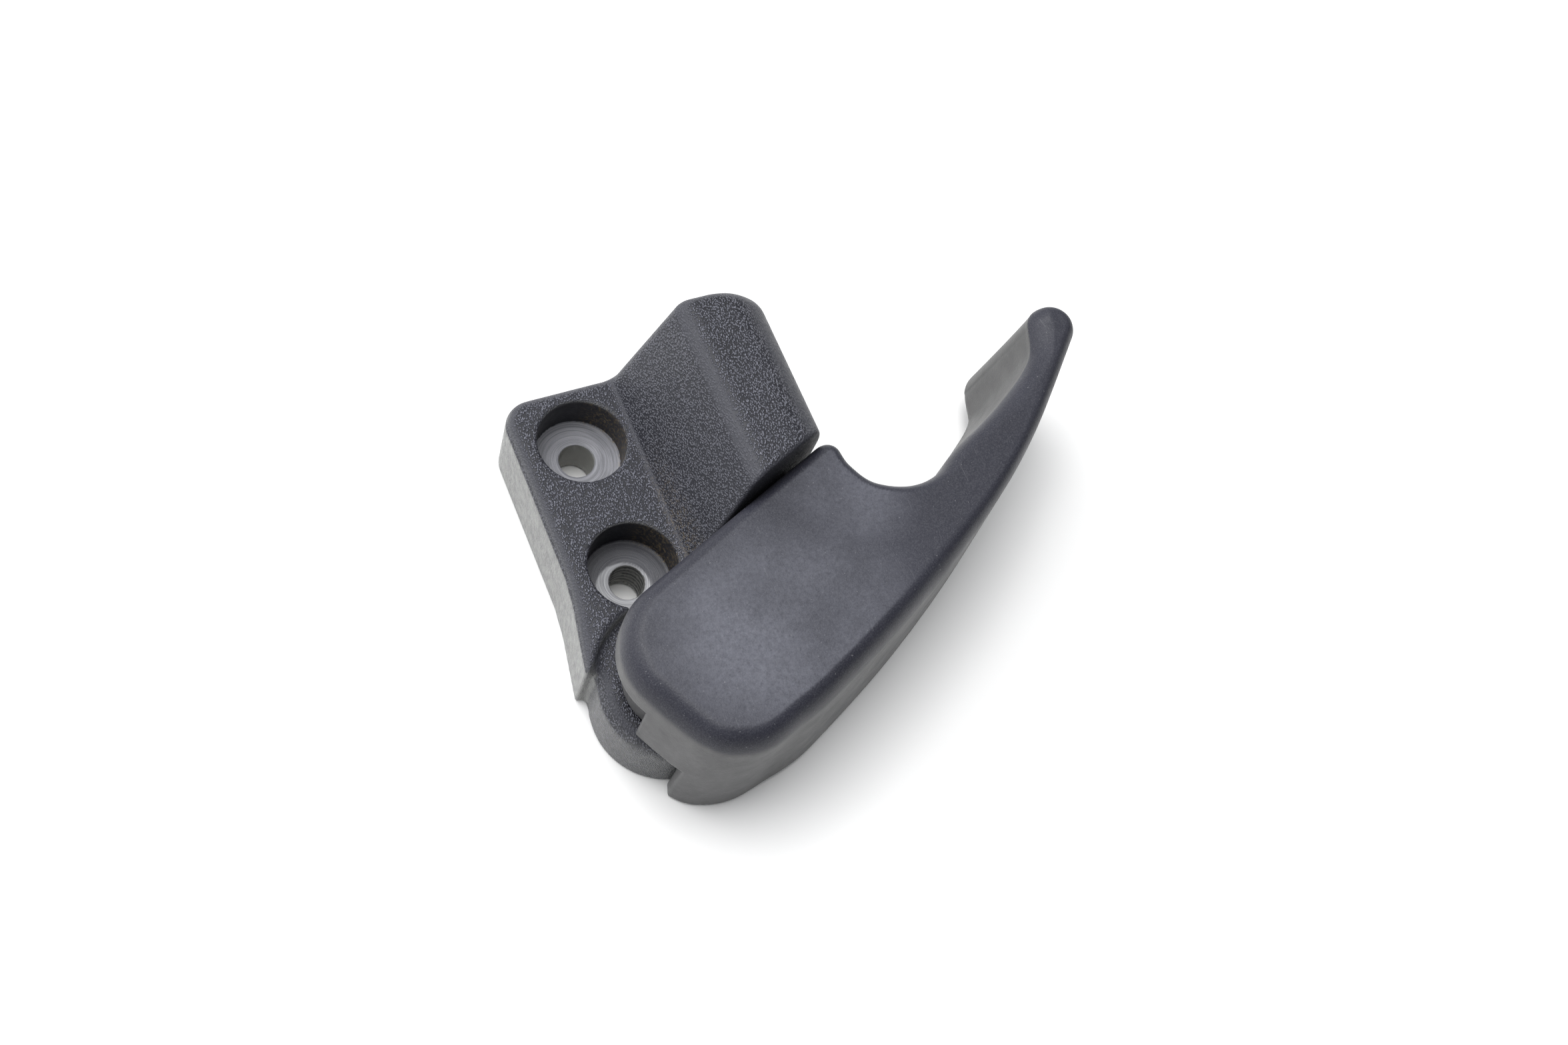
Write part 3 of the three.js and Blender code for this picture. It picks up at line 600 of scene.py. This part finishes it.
def lever_masks(points, facing):
    """Where the lever's top is hazy from hands rubbing it, with a painted sheen there, and where its walls
    and the grip face inside the hook are painted paler as a painted reflection of the table.
    """
    x, y, _ = points.T
    right, _, up = facing.T
    palm = below(np.hypot((x - 14) / 24, (y + 1) / 19), 0.45, 1.2)
    nose = below(np.hypot(x - 34, y - 18) / 13, 0.4, 1.2)
    in_hook = step(x, 58, 66) * below(right, -0.45, -0.2)
    return {
        # rubbed hazy film on the top, with a painted sheen over it
        "haze_and_sheen": step(up, 0.985, 0.999) * np.maximum(palm, 0.8 * nose),
        # painted reflection: walls, and the grip face inside the hook, painted paler for the bright table
        # they reflect
        "painted_table_reflection": below(up, 0.05, 0.25) * (1 - in_hook),
        "hook_grip_painted_reflection": below(up, 0.25, 0.45) * in_hook,
    }


# ---- materials ---------------------------------------------------------------------------
PLASTIC_GLOSS = 0.3


class Nodes:
    """A material's node tree, with short calls for the nodes that the looks are made of."""

    def __init__(self, name):
        self.material = bpy.data.materials.new(name)
        self.material.use_nodes = True
        self.tree = self.material.node_tree
        self.shader = self.tree.nodes["Principled BSDF"]
        self.place = self.tree.nodes.new("ShaderNodeTexCoord").outputs["Object"]

    def add(self, kind, inputs=(), **settings):
        node = self.tree.nodes.new(kind)
        for key, value in settings.items():
            setattr(node, key, value)
        for key, value in dict(inputs).items():
            self.put(node.inputs[key], value)
        return node

    def put(self, socket, value):
        if isinstance(value, bpy.types.NodeSocket):
            self.tree.links.new(value, socket)
        else:
            socket.default_value = value

    def mask(self, name):
        return self.add("ShaderNodeAttribute", attribute_name=name).outputs["Fac"]

    def maths(self, operation, a, b=0.0, clamp=False):
        node = self.add("ShaderNodeMath", {0: a, 1: b}, operation=operation, use_clamp=clamp)
        return node.outputs[0]

    def noise(self, scale, detail=3.0, rough=0.55, place=None):
        inputs = {"Vector": place or self.place, "Scale": scale, "Detail": detail, "Roughness": rough}
        return self.add("ShaderNodeTexNoise", inputs).outputs["Fac"]

    def span(self, value, low, high, to_low=0.0, to_high=1.0):
        inputs = {"Value": value, "From Min": low, "From Max": high, "To Min": to_low, "To Max": to_high}
        return self.add("ShaderNodeMapRange", inputs, clamp=True).outputs["Result"]

    def blend(self, part, a, b):
        node = self.add("ShaderNodeMix", data_type="RGBA")
        for socket, value in ((node.inputs[0], part), (node.inputs[6], a), (node.inputs[7], b)):
            self.put(socket, value)
        return node.outputs[2]

    def stretched(self, scale, turn=0.0):
        inputs = {"Vector": self.place, "Scale": scale, "Rotation": (0, 0, turn)}
        return self.add("ShaderNodeMapping", inputs).outputs["Vector"]

    def finish(self, colour, roughness, heights):
        """Sets colour and roughness, and bumps from pairs of height and depth in metres."""
        self.put(self.shader.inputs["Base Color"], colour)
        self.put(self.shader.inputs["Roughness"], roughness)
        normal = None
        for height, depth in heights:
            inputs = {"Height": height, "Distance": depth, "Strength": 1.0}
            if normal is not None:
                inputs["Normal"] = normal
            normal = self.add("ShaderNodeBump", inputs).outputs["Normal"]
        self.put(self.shader.inputs["Normal"], normal)
        return self.material


def pebbled(n):
    """Pebbles a third of a millimetre across, longer than wide, with wandering edges."""
    wander = n.add("ShaderNodeTexNoise", {"Vector": n.place, "Scale": 1900.0, "Detail": 2.0})
    shift = n.add("ShaderNodeVectorMath", {0: wander.outputs["Color"], "Scale": 0.00025}, operation="SCALE")
    place = n.add("ShaderNodeVectorMath", {0: n.place, 1: shift.outputs[0]}, operation="ADD").outputs[0]
    turned = {"Vector": place, "Scale": (1.0, 0.62, 0.8), "Rotation": (0, 0, 0.35)}
    stretched = n.add("ShaderNodeMapping", turned).outputs[0]
    spread = {"Vector": stretched, "Scale": 3600.0, "Smoothness": 0.25}
    cells = n.add("ShaderNodeTexVoronoi", spread, feature="SMOOTH_F1").outputs["Distance"]
    return n.span(cells, 0.22, 0.60, 1.0, 0.0)


def turned_rings(n):
    """Fine rings round a screw's axis, which break up as they go round."""
    orbit = n.add("ShaderNodeCombineXYZ", {"X": n.maths("MULTIPLY", n.mask("seat"), 5.0)}).outputs[0]
    drift = n.add("ShaderNodeVectorMath", {0: n.place, "Scale": 160.0}, operation="SCALE").outputs[0]
    orbit = n.add("ShaderNodeVectorMath", {0: orbit, 1: drift}, operation="ADD").outputs[0]
    return n.noise(scale=1.0, detail=4.0, rough=0.65, place=orbit)


def grained_plastic():
    """Leather-grained black plastic, smoother on the rounds: painted glints on its pebbles and painted
    shade in their valleys, its walls painted paler as a painted reflection of the table, painted light on
    its screw holes' walls, and scuffed, paler screw seats.
    """
    # painted shade: near-black grain valleys; painted glints: lighter pebbles and their lift over the walls
    valley_painted_shade = (0.009, 0.0094, 0.013, 1), (0.016, 0.0165, 0.023, 1)
    pebble_painted_glint = (0.180, 0.183, 0.220, 1)
    pebble_top_painted_glint = (0.20, 0.202, 0.22, 1)
    worn_edge = (0.060, 0.061, 0.073, 1)
    speck = (0.30, 0.30, 0.31, 1)
    # painted reflection of the bright table on the walls, streaked
    wall_painted_reflection = (0.22, 0.222, 0.218, 1), (0.34, 0.342, 0.33, 1)
    scuffed_seat = (0.32, 0.322, 0.35, 1)
    rubbed_ring = (0.42, 0.422, 0.44, 1)
    # painted light on the screw holes' walls
    bore_wall_painted_light = (0.34, 0.34, 0.32, 1)
    brown_dust = (0.26, 0.20, 0.115, 1)

    n = Nodes("grained_plastic")
    n.shader.inputs["Specular IOR Level"].default_value = PLASTIC_GLOSS
    hills = n.maths("MULTIPLY", pebbled(n), n.mask("grain"))
    # the grain painted as near-black valleys with lighter pebbles: painted shade and painted glints over
    # the real bump
    colour = n.blend(n.span(n.noise(scale=60.0, detail=5.0, rough=0.6), 0.3, 0.7), *valley_painted_shade)
    colour = n.blend(hills, colour, pebble_painted_glint)
    colour = n.blend(n.mask("worn"), colour, worn_edge)
    specks = n.span(n.noise(scale=2600.0, detail=2.0, rough=0.7), 0.62, 0.72)
    colour = n.blend(n.maths("MULTIPLY", specks, 0.10), colour, speck)
    upright = n.stretched((900.0, 900.0, 420.0))
    streaks = n.noise(scale=1.0, detail=4.0, rough=0.6, place=upright)
    wall = n.blend(n.span(streaks, 0.35, 0.7), *wall_painted_reflection)
    # painted reflection: walls painted paler for the bright table
    colour = n.blend(n.maths("MULTIPLY", n.mask("painted_table_reflection"), 0.85), colour, wall)
    # painted glints: pebbles lifted again over the painted-paler walls
    colour = n.blend(n.maths("MULTIPLY", hills, 0.12), colour, pebble_top_painted_glint)

    rings = turned_rings(n)
    floor = n.mask("seat_floor")
    streak = n.span(rings, 0.38, 0.62)
    scuffs = n.maths("MULTIPLY", floor, n.span(streak, 0.0, 1.0, 0.45, 0.9))
    colour = n.blend(scuffs, colour, scuffed_seat)
    rub = n.maths("MULTIPLY", n.mask("rubbed"), n.span(streak, 0.0, 1.0, 0.45, 1.0))
    colour = n.blend(rub, colour, rubbed_ring)
    # painted light: the screw holes' walls painted paler
    colour = n.blend(n.maths("MULTIPLY", n.mask("bore_wall_painted_light"), 0.85), colour, bore_wall_painted_light)

    dust = n.span(n.noise(scale=1900.0, detail=4.0, rough=0.75), 0.50, 0.62)
    grit = n.maths("MULTIPLY", n.mask("dust"), dust)
    colour = n.blend(n.maths("MULTIPLY", grit, 0.55), colour, brown_dust)
    rough = n.span(n.noise(scale=900.0, detail=3.0), 0.3, 0.7, 0.34, 0.48)
    rough = n.maths("ADD", rough, n.maths("MULTIPLY", grit, 0.3), clamp=True)
    fine = n.noise(scale=5200.0, detail=4.0, rough=0.6)
    heights = [(hills, 0.00024), (fine, 0.00004), (n.maths("MULTIPLY", rings, floor), 0.00008)]
    return n.finish(colour, rough, heights)


def smooth_plastic():
    """Smooth charcoal plastic, hazy where hands rub it with a painted sheen over that film, its walls
    painted paler as a painted reflection of the table, with fine specks and hair scratches.
    """
    clean = (0.018, 0.0185, 0.027, 1), (0.026, 0.0265, 0.038, 1)
    # a rubbed film with a painted sheen
    hazy_film_and_sheen = (0.180, 0.184, 0.218, 1)
    pore = (0.12, 0.121, 0.138, 1)
    # painted reflection of the bright table on the walls and on the grip face inside the hook
    wall_painted_reflection = (0.070, 0.070, 0.071, 1), (0.105, 0.105, 0.105, 1)
    finger_grip_painted_reflection = (0.072, 0.072, 0.072, 1), (0.094, 0.094, 0.093, 1)
    scuff = (0.36, 0.36, 0.37, 1)

    n = Nodes("smooth_plastic")
    n.shader.inputs["Specular IOR Level"].default_value = PLASTIC_GLOSS
    cloud = n.noise(scale=45.0, detail=4.0, rough=0.6)
    mottle = n.noise(scale=1500.0, detail=4.0, rough=0.75)
    colour = n.blend(n.span(cloud, 0.3, 0.7), *clean)
    patches = n.span(cloud, 0.36, 0.62, 0.45, 1.0)
    flecks = n.maths("MULTIPLY", n.span(mottle, 0.30, 0.80, 0.30, 1.0), patches)
    # painted sheen over the rubbed film on the top
    haze_and_sheen = n.maths("MULTIPLY", flecks, n.mask("haze_and_sheen"))
    colour = n.blend(n.maths("MULTIPLY", haze_and_sheen, 0.75), colour, hazy_film_and_sheen)
    pores = n.span(n.noise(scale=4200.0, detail=2.0, rough=0.8), 0.44, 0.66)
    colour = n.blend(n.maths("MULTIPLY", pores, 0.26), colour, pore)
    stain = n.span(n.noise(scale=300.0, detail=5.0, rough=0.7), 0.35, 0.7)
    # painted reflection: walls and the grip face inside the hook painted paler
    colour = n.blend(n.maths("MULTIPLY", n.mask("painted_table_reflection"), 0.85), colour, n.blend(stain, *wall_painted_reflection))
    colour = n.blend(n.maths("MULTIPLY", n.mask("hook_grip_painted_reflection"), 0.95), colour, n.blend(stain, *finger_grip_painted_reflection))
    specks = n.span(n.noise(scale=1900.0, detail=2.0, rough=0.6), 0.70, 0.75)
    colour = n.blend(n.maths("MULTIPLY", specks, 0.3), colour, scuff)
    hairs = n.stretched((2600.0, 160.0, 900.0), turn=0.9)
    scratches = n.span(n.noise(scale=1.0, detail=3.0, rough=0.5, place=hairs), 0.70, 0.74)
    colour = n.blend(n.maths("MULTIPLY", scratches, 0.08), colour, scuff)
    rough = n.span(n.noise(scale=160.0, detail=5.0, rough=0.7), 0.3, 0.7, 0.36, 0.48)
    rough = n.maths("ADD", rough, n.maths("MULTIPLY", haze_and_sheen, 0.16), clamp=True)
    skin = n.noise(scale=2600.0, detail=4.0, rough=0.65)
    waves = n.noise(scale=260.0, detail=3.0)
    return n.finish(colour, rough, [(skin, 0.00005), (waves, 0.00005)])


def metal(name, dark, light, roughness, pitch):
    """Bare metal with a turned or drawn grain round its axis."""
    n = Nodes(name)
    lines = n.noise(scale=1.0, detail=4.0, rough=0.6, place=n.stretched(pitch))
    colour = n.blend(n.span(lines, 0.3, 0.7), dark, light)
    n.shader.inputs["Metallic"].default_value = 1.0
    rough = n.span(n.noise(scale=500.0, detail=4.0), 0.3, 0.7, roughness - 0.07, roughness + 0.09)
    return n.finish(colour, rough, [(lines, 0.00002)])


def soft(name, dark, light, roughness, depth):
    """Plain acetal or rubber, faintly mottled."""
    n = Nodes(name)
    colour = n.blend(n.span(n.noise(scale=220.0, detail=5.0, rough=0.6), 0.3, 0.7), dark, light)
    rough = n.span(n.noise(scale=700.0, detail=3.0), 0.3, 0.7, roughness - 0.05, roughness + 0.07)
    return n.finish(colour, rough, [(n.noise(scale=1800.0, detail=4.0), depth)])


def table_top():
    """A plain pale laminate."""
    n = Nodes("table")
    cloud = n.span(n.noise(scale=9.0, detail=4.0), 0.3, 0.7)
    colour = n.blend(cloud, (0.90, 0.895, 0.885, 1), (0.93, 0.925, 0.92, 1))
    return n.finish(colour, 0.45, [(n.noise(scale=90.0, detail=4.0), 0.00002)])


def wear(piece, material):
    piece.data.materials.clear()
    piece.data.materials.append(material)


# ---- pieces ------------------------------------------------------------------------------
bracket_shell = shell("bearing_bracket_shell", bracket_field, BRACKET_LOW, BRACKET_HIGH, bracket_masks)
wear(bracket_shell, grained_plastic())
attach(bracket_shell, "bracket")
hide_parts("bearing_bracket")

lever_shell = shell("pull_lever_shell", lever_field, LEVER_LOW, LEVER_HIGH, lever_masks)
wear(lever_shell, smooth_plastic())
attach(lever_shell, "lever")
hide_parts("pull_lever")

acetal = soft("acetal", (0.56, 0.54, 0.46, 1), (0.66, 0.64, 0.56, 1), 0.42, 0.00002)
rubber = soft("rubber", (0.014, 0.014, 0.015, 1), (0.028, 0.028, 0.030, 1), 0.75, 0.00005)
turned = metal("pin_steel", (0.50, 0.51, 0.52, 1), (0.66, 0.67, 0.68, 1), 0.30, (200.0, 200.0, 4000.0))
drawn = metal("spring_steel", (0.24, 0.24, 0.25, 1), (0.38, 0.38, 0.39, 1), 0.34, (900.0, 900.0, 900.0))
cast = metal("zinc_alloy", (0.42, 0.42, 0.43, 1), (0.56, 0.56, 0.57, 1), 0.46, (700.0, 700.0, 700.0))
for node, material in {
    "upper_pivot_bush": acetal,
    "lower_pivot_bush": acetal,
    "rest_bumper": rubber,
    "pivot_pin": turned,
    "pin_washer": turned,
    "pin_retaining_ring": drawn,
    "return_spring": drawn,
    "cable_barrel": cast,
}.items():
    wear(frame["nodes"][node], material)

# The real spring twists about its axis, its low leg staying in the boss and its high leg turning with the
# hub; here a copy of its mesh, baked in place, stands in for it without any twist, and the CAD spring is
# hidden.
twisting_spring = bpy.data.objects.new("return_spring_coil", frame["nodes"]["return_spring"].data.copy())
bpy.context.collection.objects.link(twisting_spring)
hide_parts("return_spring")
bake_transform(twisting_spring)

# ---- table, light and camera -------------------------------------------------------------
TABLE_SIZE = 40.0
TABLE_GAP = 0.0002
bpy.ops.mesh.primitive_plane_add(size=TABLE_SIZE, location=(0, 0, -TABLE_GAP))
table = bpy.context.object
table.name = "table"
wear(table, table_top())
table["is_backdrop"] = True


def softbox(name, place, target, size, watts):
    """A square area light turned to a target."""
    data = bpy.data.lights.new(name, "AREA")
    data.size = size
    data.energy = watts
    lamp = bpy.data.objects.new(name, data)
    lamp.location = place
    lamp.rotation_euler = (Vector(target) - Vector(place)).to_track_quat("-Z", "Y").to_euler()
    bpy.context.collection.objects.link(lamp)


middle = (Vector(cad_bounds[0]) + Vector(cad_bounds[1])) / 2
softbox("key", middle + Vector((-0.62, 0.62, 0.85)), middle, size=1.3, watts=11.0)
softbox("top", middle + Vector((-0.08, 0.24, 1.10)), middle, size=0.7, watts=8.0)

# The room is bright on the window's side, far left and above, and dim on the other.
WINDOW_SIDE = (-0.45, 0.75, 0.48)
world = bpy.data.worlds.new("room")
world.use_nodes = True
room = world.node_tree
toward = room.nodes.new("ShaderNodeTexCoord").outputs["Generated"]
facing_window = room.nodes.new("ShaderNodeVectorMath")
facing_window.operation = "DOT_PRODUCT"
facing_window.inputs[1].default_value = WINDOW_SIDE
strength = room.nodes.new("ShaderNodeMapRange")
strength.interpolation_type = "SMOOTHSTEP"
for socket, value in (("From Min", -0.6), ("From Max", 0.8), ("To Min", 0.10), ("To Max", 0.85)):
    strength.inputs[socket].default_value = value
room.links.new(toward, facing_window.inputs[0])
room.links.new(facing_window.outputs["Value"], strength.inputs["Value"])
room.links.new(strength.outputs["Result"], room.nodes["Background"].inputs["Strength"])
room.nodes["Background"].inputs["Color"].default_value = (0.96, 0.98, 1.0, 1)
bpy.context.scene.world = world
bpy.context.scene.view_settings.view_transform = "Standard"

EYE = Vector((-0.0801, -0.1030, 0.2718))
RIGHT = Vector((0.8876, -0.3930, 0.2402))
LOOK = Vector((0.3731, 0.3076, -0.8753))
camera_data = bpy.data.cameras.new("camera")
camera_data.sensor_width = 36.0
camera_data.lens = 37.5
camera_data.clip_start = 0.01
camera = bpy.data.objects.new("camera", camera_data)
up = RIGHT.cross(LOOK)
axes = Matrix((RIGHT, up, -LOOK)).transposed()
camera.matrix_world = Matrix.Translation(EYE) @ axes.to_4x4()
bpy.context.collection.objects.link(camera)
bpy.context.scene.camera = camera

boxes = {"cad": cad_bounds, "visual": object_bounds()}
{key: [list(map(float, corner)) for corner in box] for key, box in boxes.items()}
